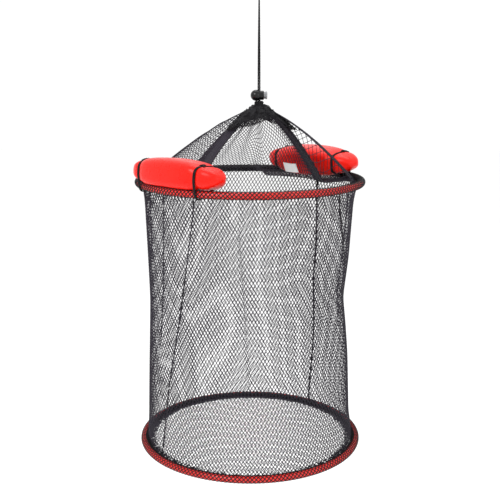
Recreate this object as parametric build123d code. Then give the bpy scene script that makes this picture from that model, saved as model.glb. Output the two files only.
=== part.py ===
from build123d import *
import math
import os

# Folding crab trap, hanging from its drawcord. Millimetres, +Z up.
# The origin is the top of the hanging loop, where a hook or a hand holds the trap.

# Heights, from the plane of the upper hoop
HANG_HEIGHT = 309.0          # the origin above the upper hoop
UPPER_Z = -HANG_HEIGHT       # plane of the upper hoop's centreline
CAGE_HEIGHT = 411.0          # between the two hoops' planes
LOWER_Z = UPPER_Z - CAGE_HEIGHT

CORD_SHIFT = 13.5            # the neck hangs this far to the right of the hoops' axis

# Hoops: a sprung steel rod in a red hose, covered by the net
HOOP_RADIUS = 169.5
ROD_RADIUS = 2.0
FERRULE_RADIUS = 2.9
FERRULE_LENGTH = 34.0
HOSE_BORE = 3.2
HOSE_RADIUS = 5.0
WRAP_INNER = 5.05
WRAP_RADIUS = 5.5
HEM_INNER = 5.6
HEM_RADIUS = 6.5
HEM_HALF_ANGLE = 62.0        # the hem covers this much above and below the hoop's inner side
JOIN_ANGLE = 135.0           # where each rod's two ends meet

# Netting
NET_THICKNESS = 1.0
SIDE_END_RADIUS = 163.8      # side net where it meets the hems
SIDE_WAIST_RADIUS = 151.4    # side net half way down
SIDE_TOP_GAP = 4.0
SIDE_BOTTOM_GAP = 5.0
SIDE_SECTORS = 16            # panels round the side net
SIDE_BANDS = 3               # panels down it
BOTTOM_NET_RADIUS = 162.8
BOTTOM_NET_DROP = 3.0

# Cone net: it starts at the upper hem and is drawn up to the neck
NECK_HEIGHT = 116.5          # the bunched neck of the net
CONE_TOP_HEIGHT = 108.4
CONE_TOP_RADIUS = 8.0
CONE_END_RADIUS = 162.9
CONE_END_Z = -3.4
BRIM_END_RADIUS = 162.4
BRIM_RADIUS = 111.5          # where the net turns up, inside a float
BRIM_Z = -5.0
CONE_START = -15.0           # azimuth of the mouth's right edge
FLOAT_NET_SPANS = [(5.0, 84.0), (187.0, 240.0)]
OPEN_NET_SPANS = [(CONE_START, 5.0), (84.0, 187.0)]
CONE_PANEL_ANGLE = 21.0      # widest panel of the cone net
FOLD_HALF_ANGLE = 0.3        # the folds beside a float's dip
CONE_WALL = 1.4              # the net's thickness, measured level
SEAM_AZIMUTH = 24.0          # the cone's gathered seam
SEAM_WIDTH = 10.0
SEAM_THICKNESS = 2.0
SEAM_END_GAP = 4.0           # left free at each end of the seam
SEAM_GAP = 1.0               # between the seam and the net
SIDE_SEAM_AZIMUTH = 46.0
SIDE_SEAM_WIDTH = 4.0
SIDE_SEAM_THICKNESS = 1.2

# Floats, across from each other on top of the upper hoop
FLOAT_LENGTH = 180.0
FLOAT_WIDTH = 61.0
FLOAT_HEIGHT = 46.0
FLOAT_ORBIT = 144.0          # centre of a float from the trap's axis
FLOAT_RISE = 21.0
FLOAT_ROLL = 6.0             # the inner side droops this much
FLOAT_POWER = 2.6            # roundness of the float's plan and section
FLOAT_CORNER = 0.46          # a section's corner radius, as a share of its height
FLOAT_STATIONS = [-0.985, -0.93, -0.82, -0.62, -0.32, 0, 0.32, 0.62, 0.82, 0.93, 0.985]
FLOAT_SEAT_GAP = 0.3         # between the float's channel and the hem
FRONT_FLOAT_AZIMUTH = 225.0
BACK_FLOAT_AZIMUTH = 45.0
LASHING_STATION = 60.0       # along the float, each side of its middle
LASHING_RADIUS = 1.1
LASHING_GAP = 0.4            # from the float's skin to the middle of a lashing
LASHING_KNOT_RADIUS = 1.75

# Drawcord and cord lock
CORD_RADIUS = 1.1
CORD_OFFSET = 1.15
CORD_FOOT = 113.0
CORD_STRAIGHT = 6.0          # straight length above the lock, before the strands turn
BEND_SHARE = 0.45            # of the shorter side at a corner, taken up by its bend
KNOT_FOOT = 272.0
KNOT_RADIUS = 4.6
KNOT_HEIGHT = 9.0
LOOP_FOOT = [(1.3, 0.0), (6.6, 7.0), (9.2, 15.0)]    # half of the loop: across, and above the knot
LOOP_HEAD = [(8.8, -4.4), (3.6, CORD_RADIUS)]        # across, and above the origin
NECK_OUTLINE = [(2.6, -6.2), (6.6, -6.2), (5.4, -3.6), (5.2, -1.2), (6.4, 1.6), (5.6, 2.6), (2.6, 2.6)]
NECK_LOOP_RADIUS = 6.5
NECK_LOOP_DROP = 2.4
LOCK_HEIGHT = 128.0
LOCK_RADIUS = 8.3
LOCK_SHIFT = -4.4            # centre of the lock's ball from the cords
LOCK_COLLAR_RADIUS = 6.9
LOCK_COLLAR_END = 7.4
LOCK_BORE_RADIUS = 5.25
LOCK_BORE_END = -8.6
BUTTON_RADIUS = 5.1
BUTTON_INNER_END = -4.0
BUTTON_TRAVEL = 2.5
BUTTON_CAP_RADIUS = 5.9
BUTTON_CAP_THICKNESS = 2.5
BUTTON_RIM = 1.6
COLLAR_RIM = 1.2
PINCH_GAP = 0.1
CORD_HOLE_LENGTH = 5.4
CORD_HOLE_WIDTH = 5.0        # wide enough for the strands at any turn
SPRING_RADIUS = 3.4
SPRING_WIRE = 0.3
SPRING_TURNS = 3.5

# Care label
LABEL_WIDTH = 27.0
LABEL_HEIGHT = 18.0
LABEL_THICKNESS = 0.8
LABEL_AZIMUTH = 47.0
LABEL_PLACE = 0.15           # share of the cone's rise, from the brim
LABEL_GAP = 1.8


def torus(major, minor, z):
    return Pos(0, 0, z) * Torus(major, minor)


def ring_shell(major, outer, inner, z):
    """A tube bent round into a ring."""
    return torus(major, outer, z) - torus(major, inner, z)


def hoop_rod(z):
    return torus(HOOP_RADIUS, ROD_RADIUS, z)


def hoop_ferrule(z):
    """Sleeve crimped over the joint between the rod's two ends."""
    half_angle = math.degrees(FERRULE_LENGTH / 2 / HOOP_RADIUS)
    section = Circle(FERRULE_RADIUS) - Circle(ROD_RADIUS)
    placed = Plane.XZ * Pos(HOOP_RADIUS, 0) * section
    sleeve = revolve(placed, Axis.Z, 2 * half_angle)
    return Pos(0, 0, z) * Rot(0, 0, JOIN_ANGLE - half_angle) * sleeve


def hoop_hose(z):
    return ring_shell(HOOP_RADIUS, HOSE_RADIUS, HOSE_BORE, z)


def hoop_wrap(z):
    return ring_shell(HOOP_RADIUS, WRAP_RADIUS, WRAP_INNER, z)


def hoop_hem(z):
    """Gathered, stitched edge of the net, a crescent along the hoop's inner side."""
    def rim(radius, degrees):
        angle = math.radians(degrees)
        return (HOOP_RADIUS - radius * math.cos(angle), radius * math.sin(angle))

    half = HEM_HALF_ANGLE
    outer = ThreePointArc(rim(HEM_RADIUS, -half), rim(HEM_RADIUS, 0), rim(HEM_RADIUS, half))
    inner = ThreePointArc(rim(HEM_INNER, -half), rim(HEM_INNER, 0), rim(HEM_INNER, half))
    ends = [Line(outer @ 0, inner @ 0), Line(outer @ 1, inner @ 1)]
    section = make_face([outer, inner] + ends)
    return Pos(0, 0, z) * revolve(Plane.XZ * section, Axis.Z)


def side_arc(inset, band):
    """The waisted profile's arc over one band, 0 at the top, at an inset from the net's outside."""
    top = UPPER_Z - SIDE_TOP_GAP
    bottom = LOWER_Z + SIDE_BOTTOM_GAP
    whole = ThreePointArc(
        (SIDE_END_RADIUS - inset, top),
        (SIDE_WAIST_RADIUS - inset, (top + bottom) / 2),
        (SIDE_END_RADIUS - inset, bottom),
    )
    shares = [(band + part) / SIDE_BANDS for part in (0, 0.5, 1)]
    return ThreePointArc(*[whole @ share for share in shares])


def side_panel(outer_inset, inner_inset, band, sweep_angle):
    outer = side_arc(outer_inset, band)
    inner = side_arc(inner_inset, band)
    ends = [Line(outer @ 0, inner @ 0), Line(outer @ 1, inner @ 1)]
    section = make_face([outer, inner] + ends)
    return revolve(Plane.XZ * section, Axis.Z, sweep_angle)


def side_net():
    """The waisted side, as panels that meet edge to edge."""
    panel_angle = 360 / SIDE_SECTORS
    panels = []
    for band in range(SIDE_BANDS):
        panel = side_panel(0, NET_THICKNESS, band, panel_angle)
        for sector in range(SIDE_SECTORS):
            panels.append(Rot(0, 0, sector * panel_angle) * panel)
    return Compound(children=panels)


def side_seam():
    inset = NET_THICKNESS + 0.05
    sweep_angle = math.degrees(SIDE_SEAM_WIDTH / SIDE_WAIST_RADIUS)
    strips = [side_panel(inset, inset + SIDE_SEAM_THICKNESS, band, sweep_angle) for band in range(SIDE_BANDS)]
    whole = strips[0].fuse(*strips[1:])
    return Rot(0, 0, SIDE_SEAM_AZIMUTH - sweep_angle / 2) * whole


def bottom_net():
    return Pos(0, 0, LOWER_Z - BOTTOM_NET_DROP) * Cylinder(BOTTOM_NET_RADIUS, NET_THICKNESS)


def ring_sector(outer, inner, span, z, shift=0.0):
    """Flat face between two radii over a span of azimuths, its centre shifted along X."""
    start, end = span
    rims = [CenterArc((0, 0), radius, start, end - start) for radius in (outer, inner)]
    ends = [Line(rims[0] @ 0, rims[1] @ 0), Line(rims[0] @ 1, rims[1] @ 1)]
    return Pos(shift, 0, UPPER_Z + z) * make_face(rims + ends)


def cone_panel(radius, z, span):
    """A panel of the cone net, from a radius at its foot up to the neck."""
    foot = ring_sector(radius, radius - CONE_WALL, span, z)
    top = ring_sector(CONE_TOP_RADIUS, CONE_TOP_RADIUS - CONE_WALL, span, CONE_TOP_HEIGHT, CORD_SHIFT)
    return loft([foot, top], ruled=True)


def brim_panel(span):
    """The level stretch beneath a float, which the cone stands on."""
    flat = ring_sector(BRIM_END_RADIUS, BRIM_RADIUS - CONE_WALL, span, BRIM_Z - NET_THICKNESS)
    return extrude(flat, NET_THICKNESS)


def brim_point(azimuth, radius, z):
    angle = math.radians(azimuth)
    return Vector(radius * math.cos(angle), radius * math.sin(angle), UPPER_Z + z)


def neck_point(azimuth):
    return brim_point(azimuth, CONE_TOP_RADIUS, CONE_TOP_HEIGHT) + Vector(CORD_SHIFT, 0, 0)


def cone_fold(azimuth):
    """The thin triangle that closes the step where the cone drops beneath a float."""
    sides = []
    for turned in (azimuth - FOLD_HALF_ANGLE, azimuth + FOLD_HALF_ANGLE):
        hem_end = brim_point(turned, CONE_END_RADIUS, CONE_END_Z)
        brim_end = brim_point(turned, BRIM_RADIUS, BRIM_Z)
        sides.append(make_face(Polyline(hem_end, brim_end, neck_point(turned), close=True)))
    return loft(sides, ruled=True)


def cone_spans(span):
    """A span of the cone, less the folds at its ends, in equal panels."""
    start = span[0] + FOLD_HALF_ANGLE
    end = span[1] - FOLD_HALF_ANGLE
    count = math.ceil((end - start) / CONE_PANEL_ANGLE)
    step = (end - start) / count
    return [(start + index * step, start + (index + 1) * step) for index in range(count)]


def cone_net():
    """Net from the hem to the neck, as panels that meet edge to edge. The front is left open as the mouth."""
    panels = []
    for whole in OPEN_NET_SPANS:
        panels += [cone_panel(CONE_END_RADIUS, CONE_END_Z, span) for span in cone_spans(whole)]
    for whole in FLOAT_NET_SPANS:
        for span in cone_spans(whole):
            panels.append(cone_panel(BRIM_RADIUS, BRIM_Z, span))
            panels.append(brim_panel(span))
    for azimuth in (FLOAT_NET_SPANS[0][0], FLOAT_NET_SPANS[0][1], FLOAT_NET_SPANS[1][0]):
        panels.append(cone_fold(azimuth))
    return Compound(children=panels)


def on_cone(azimuth, share, depth):
    """A plane on the inside of the cone, with X up the slope, at a share of the way from brim to neck."""
    foot = brim_point(azimuth, BRIM_RADIUS - CONE_WALL, BRIM_Z)
    along = (neck_point(azimuth) - foot).normalized()
    angle = math.radians(azimuth)
    level = Vector(-math.sin(angle), math.cos(angle), 0)
    outward = level.cross(along).normalized() * -1
    middle = foot + (neck_point(azimuth) - foot) * share
    return Plane(origin=middle - outward * depth, x_dir=along, z_dir=outward)


def cone_seam():
    """Rolled seam that runs down the inside of the cone."""
    slope = (neck_point(SEAM_AZIMUTH) - brim_point(SEAM_AZIMUTH, BRIM_RADIUS, BRIM_Z)).length
    strip = Box(slope - 2 * SEAM_END_GAP, SEAM_WIDTH, SEAM_THICKNESS)
    return on_cone(SEAM_AZIMUTH, 0.5, SEAM_THICKNESS / 2 + SEAM_GAP) * strip


def care_label():
    """Blank folded tape sewn in beside the foot of the seam."""
    tape = Box(LABEL_HEIGHT, LABEL_WIDTH, LABEL_THICKNESS)
    return on_cone(LABEL_AZIMUTH, LABEL_PLACE, LABEL_THICKNESS / 2 + LABEL_GAP) * tape


def float_scale(station):
    """How much of its full section the float keeps at a station from -1 to 1."""
    return (1 - abs(station) ** FLOAT_POWER) ** (1 / FLOAT_POWER)


def float_body():
    """Moulded float along X, its middle at the origin."""
    sections = []
    for station in FLOAT_STATIONS:
        keep = float_scale(station)
        width = FLOAT_WIDTH * keep
        height = FLOAT_HEIGHT * keep
        outline = RectangleRounded(width, height, FLOAT_CORNER * height)
        sections.append(Plane.YZ.offset(station * FLOAT_LENGTH / 2) * outline)
    return loft(sections)


def place_float(shape, azimuth):
    """From the float's own frame, with Y outwards, to its place on the hoop."""
    up = UPPER_Z + FLOAT_RISE
    return Rot(0, 0, azimuth - 90) * Pos(0, FLOAT_ORBIT, up) * Rot(FLOAT_ROLL, 0, 0) * shape


def bend_radii(corners):
    """Bends for an open path's inner corners, with a straight length left between them."""
    radii = []
    for before, here, after in zip(corners, corners[1:], corners[2:]):
        turn = (here - before).get_angle(after - here)
        shorter = min((here - before).length, (after - here).length)
        radii.append(BEND_SHARE * shorter / math.tan(math.radians(turn / 2)))
    return radii


def cord_along(path, radius):
    return sweep(Plane(origin=path @ 0, z_dir=path % 0) * Circle(radius), path=path)


def lashing_corners():
    """Loop round a float and the hoop, in the plane across the float, from the float's middle."""
    keep = float_scale(2 * LASHING_STATION / FLOAT_LENGTH)
    half_width = FLOAT_WIDTH / 2 * keep + LASHING_GAP
    half_height = FLOAT_HEIGHT / 2 * keep + LASHING_GAP
    hoop_out = math.sqrt(HOOP_RADIUS ** 2 - LASHING_STATION ** 2) - FLOAT_ORBIT
    under = WRAP_RADIUS + LASHING_RADIUS + 0.2
    return [
        (half_width, 0.45 * half_height),
        (half_width, -0.2 * half_height),
        (hoop_out + under, -FLOAT_RISE - 0.5 * under),
        (hoop_out + 0.45 * under, -FLOAT_RISE - under),
        (hoop_out - 0.6 * under, -FLOAT_RISE - under),
        (-0.62 * half_width, -half_height - 1.5),
        (-half_width, -0.5 * half_height),
        (-half_width, 0.35 * half_height),
        (-0.6 * half_width, half_height),
        (0.55 * half_width, half_height),
    ]


def lashing_cord(radius):
    """One turn of cord round the section, its middle on the float's own X = 0 plane."""
    corners = [Vector(0, y, z) for y, z in lashing_corners()]
    radii = bend_radii([corners[-1]] + corners + [corners[0]])
    return cord_along(FilletPolyline(*corners, radius=radii, close=True), radius)


def place_lashing(shape, azimuth, side):
    up = UPPER_Z + FLOAT_RISE
    along = side * LASHING_STATION
    return Rot(0, 0, azimuth - 90) * Pos(along, FLOAT_ORBIT, up) * shape


def float_on_hoop(azimuth):
    """A float with the channel that sits on the hoop and a groove for each lashing."""
    placed = place_float(float_body(), azimuth)
    placed = placed - torus(HOOP_RADIUS, HEM_RADIUS + FLOAT_SEAT_GAP, UPPER_Z)
    groove = lashing_cord(LASHING_RADIUS + 0.15)
    for side in (-1, 1):
        placed = placed - place_lashing(groove, azimuth, side)
    return largest(placed)


def largest(shape):
    """The main solid, without slivers that a cut may leave."""
    return max(shape.solids(), key=lambda solid: solid.volume)


def lashing(azimuth, side):
    return place_lashing(lashing_cord(LASHING_RADIUS), azimuth, side)


def lashing_knots():
    """A small knot on top of each lashing, at its outer corner."""
    knots = []
    keep = float_scale(2 * LASHING_STATION / FLOAT_LENGTH)
    out = 0.1 * FLOAT_WIDTH * keep
    top = FLOAT_HEIGHT / 2 * keep + LASHING_GAP + LASHING_RADIUS + LASHING_KNOT_RADIUS + 0.05
    for azimuth in (FRONT_FLOAT_AZIMUTH, BACK_FLOAT_AZIMUTH):
        for side in (-1, 1):
            knot = Pos(0, out, top) * Sphere(LASHING_KNOT_RADIUS)
            knots.append(place_lashing(knot, azimuth, side))
    return Compound(children=knots)


def cord_route(side):
    """One strand's points: two strands make a quarter turn about each other from lock to knot."""
    head = UPPER_Z + KNOT_FOOT
    start = UPPER_Z + LOCK_HEIGHT + LOCK_RADIUS + CORD_STRAIGHT
    rise = (head - start) / 3
    turns = [(0, UPPER_Z + CORD_FOOT), (0, start), (30, start + rise), (60, start + 2 * rise), (90, head)]
    points = []
    for degrees, height in turns:
        angle = math.radians(degrees)
        across = side * CORD_OFFSET
        points.append(Vector(across * math.cos(angle), across * math.sin(angle), height))
    return points


def drawcord(side):
    points = cord_route(side)
    path = FilletPolyline(*points, radius=bend_radii(points))
    strand = cord_along(path, CORD_RADIUS)
    expected = math.pi * CORD_RADIUS ** 2 * path.length
    print("strand length", round(path.length, 1), "volume ratio", round(strand.volume / expected, 4))
    return strand


def hanging_knot():
    """Overhand knot that joins the two strands below the loop."""
    knot = Cylinder(KNOT_RADIUS, KNOT_HEIGHT)
    knot = fillet(knot.edges(), KNOT_RADIUS * 0.62)
    return Pos(0, 0, UPPER_Z + KNOT_FOOT + KNOT_HEIGHT / 2) * knot


def hanging_loop():
    """Bight of the drawcord above the knot."""
    foot = UPPER_Z + KNOT_FOOT + KNOT_HEIGHT
    half = [(across, foot + height) for across, height in LOOP_FOOT] + LOOP_HEAD
    points = [Vector(0, -across, height) for across, height in half]
    points += [Vector(0, across, height) for across, height in reversed(half)]
    path = FilletPolyline(*points, radius=bend_radii(points))
    print("loop length", round(path.length, 1))
    return cord_along(path, CORD_RADIUS)


def neck_gather():
    """Net drawn into a bunch, with the cords up its middle."""
    middle = UPPER_Z + NECK_HEIGHT
    section = make_face(Polyline(*[(r, middle + z) for r, z in NECK_OUTLINE], close=True))
    return revolve(Plane.XZ * section, Axis.Z)


def neck_loop():
    """The drawcord's turn round the bunched net."""
    return torus(NECK_LOOP_RADIUS, CORD_RADIUS, UPPER_Z + NECK_HEIGHT - NECK_LOOP_DROP)


def cord_hole(shift, length):
    hole = extrude(SlotOverall(length, CORD_HOLE_WIDTH), 30, both=True)
    return Pos(shift, 0, 0) * hole


def along_x(start, end, radius):
    middle = (start + end) / 2
    return Pos(middle, 0, 0) * Rot(0, 90, 0) * Cylinder(radius, end - start)


def at_lock(shape):
    return Pos(0, 0, UPPER_Z + LOCK_HEIGHT) * shape


def lock_body():
    """Ball with a short collar on its right, bored for the button, with the cord hole down through both."""
    ball = Pos(LOCK_SHIFT, 0, 0) * Sphere(LOCK_RADIUS)
    collar = along_x(LOCK_SHIFT, LOCK_COLLAR_END, LOCK_COLLAR_RADIUS)
    rim = collar.edges().filter_by(GeomType.CIRCLE).sort_by(Axis.X)[-1]
    collar = fillet(rim, COLLAR_RIM)
    body = ball + collar
    body = body - along_x(LOCK_BORE_END, LOCK_COLLAR_END + 2, LOCK_BORE_RADIUS)
    return at_lock(body - cord_hole(0, CORD_HOLE_LENGTH))


def lock_button():
    """Button that the spring pushes out, so that its hole pinches the cords."""
    cap_start = LOCK_COLLAR_END + BUTTON_TRAVEL + 0.1
    stem = along_x(BUTTON_INNER_END, cap_start + 1, BUTTON_RADIUS)
    cap = along_x(cap_start, cap_start + BUTTON_CAP_THICKNESS, BUTTON_CAP_RADIUS)
    rim = cap.edges().filter_by(GeomType.CIRCLE).sort_by(Axis.X)[-1]
    cap = fillet(rim, BUTTON_RIM)
    grip = CORD_OFFSET + CORD_RADIUS + PINCH_GAP
    free = grip + BUTTON_TRAVEL + 0.3
    hole = cord_hole((free - grip) / 2, free + grip)
    return at_lock(stem + cap - hole)


def lock_spring():
    length = BUTTON_INNER_END - LOCK_BORE_END - 2 * SPRING_WIRE - 0.3
    path = Helix(pitch=length / SPRING_TURNS, height=length, radius=SPRING_RADIUS)
    wire = Plane(origin=path @ 0, z_dir=path % 0) * Circle(SPRING_WIRE)
    coil = sweep(wire, path=path, is_frenet=True)
    start = LOCK_BORE_END + SPRING_WIRE + 0.15
    return at_lock(Pos(start, 0, 0) * Rot(0, 90, 0) * coil)


def main():
    nodes = {
        "upper_hem": hoop_hem(UPPER_Z),
        "cone_net": cone_net(),
        "cone_seam": cone_seam(),
        "side_net": side_net(),
        "side_seam": side_seam(),
        "care_label": care_label(),
        "lower_hem": hoop_hem(LOWER_Z),
        "bottom_net": bottom_net(),
        "lashing_knots": lashing_knots(),
    }
    for name, z in (("upper", UPPER_Z), ("lower", LOWER_Z)):
        nodes[name + "_rod"] = hoop_rod(z)
        nodes[name + "_ferrule"] = hoop_ferrule(z)
        nodes[name + "_hose"] = hoop_hose(z)
        nodes[name + "_wrap"] = hoop_wrap(z)
    for name, azimuth in (("front", FRONT_FLOAT_AZIMUTH), ("back", BACK_FLOAT_AZIMUTH)):
        nodes[name + "_float"] = float_on_hoop(azimuth)
        for number, side in ((1, -1), (2, 1)):
            nodes[f"{name}_lashing_{number}"] = lashing(azimuth, side)
    nodes = {name: Pos(-CORD_SHIFT, 0, 0) * shape for name, shape in nodes.items()}
    nodes |= {
        "hanging_loop": hanging_loop(),
        "hanging_knot": hanging_knot(),
        "drawcord_strand_a": drawcord(1),
        "drawcord_strand_b": drawcord(-1),
        "neck_gather": neck_gather(),
        "neck_loop": neck_loop(),
        "lock_body": lock_body(),
        "lock_button": lock_button(),
        "lock_spring": lock_spring(),
    }
    os.makedirs("parts", exist_ok=True)
    for name, shape in nodes.items():
        export_step(shape, f"parts/{name}.step")


main()
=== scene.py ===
import math

import bpy
import numpy as np
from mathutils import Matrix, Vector


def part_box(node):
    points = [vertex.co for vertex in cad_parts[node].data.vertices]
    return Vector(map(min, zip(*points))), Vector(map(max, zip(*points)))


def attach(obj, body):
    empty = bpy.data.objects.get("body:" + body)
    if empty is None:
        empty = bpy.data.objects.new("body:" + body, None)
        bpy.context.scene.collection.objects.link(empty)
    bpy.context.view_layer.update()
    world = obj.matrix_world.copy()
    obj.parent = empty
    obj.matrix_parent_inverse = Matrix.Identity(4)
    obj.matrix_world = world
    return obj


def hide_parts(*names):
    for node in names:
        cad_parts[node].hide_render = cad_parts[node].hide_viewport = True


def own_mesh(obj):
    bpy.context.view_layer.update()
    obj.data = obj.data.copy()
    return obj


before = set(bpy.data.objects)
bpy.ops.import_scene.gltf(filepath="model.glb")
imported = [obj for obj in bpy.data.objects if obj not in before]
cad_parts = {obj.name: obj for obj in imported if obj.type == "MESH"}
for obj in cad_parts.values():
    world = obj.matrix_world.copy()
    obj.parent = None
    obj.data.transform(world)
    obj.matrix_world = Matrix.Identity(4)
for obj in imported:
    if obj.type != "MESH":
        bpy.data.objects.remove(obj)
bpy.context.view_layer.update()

MM = 0.001
TAU = 2 * math.pi
rng = np.random.default_rng(7)

# ---- places, from the frame

hose_low, hose_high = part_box("upper_hose")
HOSE = (hose_high.z - hose_low.z) / 2
UPPER_Z = (hose_low.z + hose_high.z) / 2
HOOP = (hose_high.x - hose_low.x) / 2 - HOSE
AXIS_X = (hose_low.x + hose_high.x) / 2
lower_low, lower_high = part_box("lower_hose")
LOWER_Z = (lower_low.z + lower_high.z) / 2
AXIS = np.array([AXIS_X, 0.0, 0.0])
knot_low, knot_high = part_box("hanging_knot")
gather_low, gather_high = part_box("neck_gather")

# ---- sizes

TWINE = 0.54 * MM                # corner radius of the four-sided strands
BOTTOM_CELL_WIDTH = 5.4 * MM
BOTTOM_CELL_HEIGHT = 12.5 * MM
BOTTOM_TWINE = 0.42 * MM
FOLD_TWINE = 0.75 * MM           # the thicker twine along a fold's edge
COLUMNS = 168                    # diamonds round the side net
SIDE_ROWS = 42
SIDE_TWIST = 9.5 / 360           # of a turn, from its top to its bottom
CONE_COLUMNS = 114
CONE_ROWS = 19
CONE_TWINE = 0.52 * MM
SIDE_WAIST = 151.4 * MM
SIDE_TOP = UPPER_Z - 4 * MM
SIDE_BOTTOM = LOWER_Z + 5 * MM
BOTTOM_RADIUS = 162.8 * MM
BOTTOM_Z = LOWER_Z - 3 * MM
WRAP_ROWS = 5                    # diamonds round the hose's section
WRAP_COLUMNS = 180               # and along the hoop
WRAP_TWINE = 0.85 * MM

CONE_START = -15.0               # azimuths, in degrees
CONE_END = 240.0
FLOAT_SPANS = [(5.0, 84.0), (187.0, 240.0)]
HEM_RADIUS = 162.9 * MM
HEM_Z = UPPER_Z - 3.4 * MM
BRIM_RADIUS = 111.5 * MM
BRIM_Z = UPPER_Z - 5.0 * MM
NECK_RADIUS = 5.2 * MM
NECK_Z = UPPER_Z + 112.0 * MM
SEAM_AZIMUTH = 24.0
SIDE_SEAM_AZIMUTH = 46.0
LABEL_AZIMUTH = 47.0
FRILL = 37.0 * MM                # reach and drop of the ruffles at the neck
FRILL_DROP = 29.0 * MM
BULGE_RIGHT = 13.0 * MM          # how far the cone's two sides rise above a straight slope
BULGE_LEFT = 11.0 * MM
EDGE_DRAW = 17.0                 # degrees by which the mouth's left edge is drawn back half way up
LABEL_STAND = 5.0 * MM           # how far the label stands in from the net

FLOAT_LENGTH = 180.0 * MM
FLOAT_WIDTH = 61.0 * MM
FLOAT_HEIGHT = 46.0 * MM
FLOAT_ORBIT = 144.0 * MM
FLOAT_RISE = 21.0 * MM
FLOAT_ROLL = math.radians(6.0)
FLOAT_PLAN_POWER = 2.4           # of the superellipses that outline the float from above
FLOAT_SIDE_POWER = 2.1           # and from the side
FLOAT_SECTION_POWER = 3.3        # and of its rounded cross-section
PINCH = 2.0 * MM                 # how far a lashing squeezes the float
LASHING_STATION = 60.0 * MM
CORD = 1.1 * MM                  # radius of the drawcord and the lashings
LOCK_TOP = 142.3 * MM            # where the two strands leave the lock, above the hoop

HEM_SHARE = 0.26                 # how far up the cone net its brim lies, beneath a float
TUFTS = 260                      # loose ends in the neck's frill
STITCHES = 176                   # turns of twine over each hem
FLOOR_DROP = 0.32                # in metres, below the lower hoop
CAMERA_BACK = 8.0 * HOOP
CAMERA_RISE = 3.44 * HOOP        # above the lower hoop
CAMERA_TILT = 11.71              # degrees below level
CAMERA_LENS = 64.15
UP = np.array([0, 0, 1.0])


# ---- mesh code

def mesh_object(name, verts, faces, material):
    """An object from an array of points and an array of quads or triangles."""
    verts = np.asarray(verts, np.float32).reshape(-1, 3)
    faces = np.asarray(faces, np.int32)
    mesh = bpy.data.meshes.new(name)
    mesh.vertices.add(len(verts))
    mesh.vertices.foreach_set("co", verts.ravel())
    mesh.loops.add(faces.size)
    mesh.loops.foreach_set("vertex_index", faces.ravel())
    mesh.polygons.add(len(faces))
    mesh.polygons.foreach_set("loop_start", np.arange(len(faces), dtype=np.int32) * faces.shape[1])
    mesh.update(calc_edges=True)
    mesh.validate()
    mesh.polygons.foreach_set("use_smooth", np.full(len(mesh.polygons), True))
    made = bpy.data.objects.new(name, mesh)
    bpy.context.scene.collection.objects.link(made)
    mesh.materials.append(material)
    return made


def unit(vectors):
    length = np.linalg.norm(vectors, axis=-1, keepdims=True)
    return vectors / np.maximum(length, 1e-12)


def around(radius, angle, height, middle=AXIS_X):
    """Points round the hoops' axis, or round another upright line."""
    return np.stack([middle + radius * np.cos(angle), radius * np.sin(angle), height + 0 * angle], -1)


def smoothstep(low, high, value):
    share = np.clip((value - low) / (high - low), 0, 1)
    return share * share * (3 - 2 * share)


def tubes(points, normals, radius, sides=4, closed=False):
    """Vertices and quads of many tubes at once, from (tube, point, 3) arrays."""
    count, steps, _ = points.shape
    if closed:
        along = np.roll(points, -1, 1) - np.roll(points, 1, 1)
    else:
        along = np.gradient(points, axis=1)
    along = unit(along)
    side = unit(np.cross(along, normals))
    out = unit(np.cross(side, along))
    radius = np.broadcast_to(np.asarray(radius, float), (count, steps))
    turn = TAU * (np.arange(sides) + 0.5) / sides
    ring = out[:, :, None, :] * np.cos(turn)[None, None, :, None]
    ring = ring + side[:, :, None, :] * np.sin(turn)[None, None, :, None]
    verts = points[:, :, None, :] + ring * radius[:, :, None, None]
    index = np.arange(count * steps * sides).reshape(count, steps, sides)
    here = index if closed else index[:, :-1]
    ahead = np.roll(index, -1, 1) if closed else index[:, 1:]
    quads = np.stack([here, np.roll(here, -1, 2), np.roll(ahead, -1, 2), ahead], -1).reshape(-1, 4)
    if not closed and sides == 4:
        quads = np.concatenate([quads, index[:, 0, ::-1], index[:, -1]])
    return verts.reshape(-1, 3), quads


def joined(parts):
    verts, faces, start = [], [], 0
    for some_verts, some_faces in parts:
        verts.append(some_verts)
        faces.append(some_faces + start)
        start += len(some_verts)
    return np.concatenate(verts), np.concatenate(faces)


def knots(points, normals, along, wide, deep, tall):
    """Small eight-sided knots at (n, 3) places, as triangles."""
    normals = unit(normals)
    along = unit(along - normals * (along * normals).sum(-1, keepdims=True))
    side = np.cross(along, normals)
    corners = [points + side * wide, points + normals * deep, points - side * wide, points - normals * deep]
    corners = np.stack(corners + [points + along * tall, points - along * tall], 1)
    upper = [[0, 1, 4], [1, 2, 4], [2, 3, 4], [3, 0, 4]]
    lower = [[1, 0, 5], [2, 1, 5], [3, 2, 5], [0, 3, 5]]
    faces = (np.arange(len(points)) * 6)[:, None, None] + np.array(upper + lower)[None]
    return corners.reshape(-1, 3), faces.reshape(-1, 3)


def surface_normals(surface, u, v, step=1e-3):
    across = surface(u + step, v) - surface(u - step, v)
    down = surface(u, v + step) - surface(u, v - step)
    return unit(np.cross(down, across))


def grid_faces(rows, columns, wrap=False):
    index = np.arange(rows * columns).reshape(rows, columns)
    if wrap:
        index = np.concatenate([index, index[:, :1]], 1)
    corners = [index[:-1, :-1], index[1:, :-1], index[1:, 1:], index[:-1, 1:]]
    return np.stack(corners, -1).reshape(-1, 4)


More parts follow.
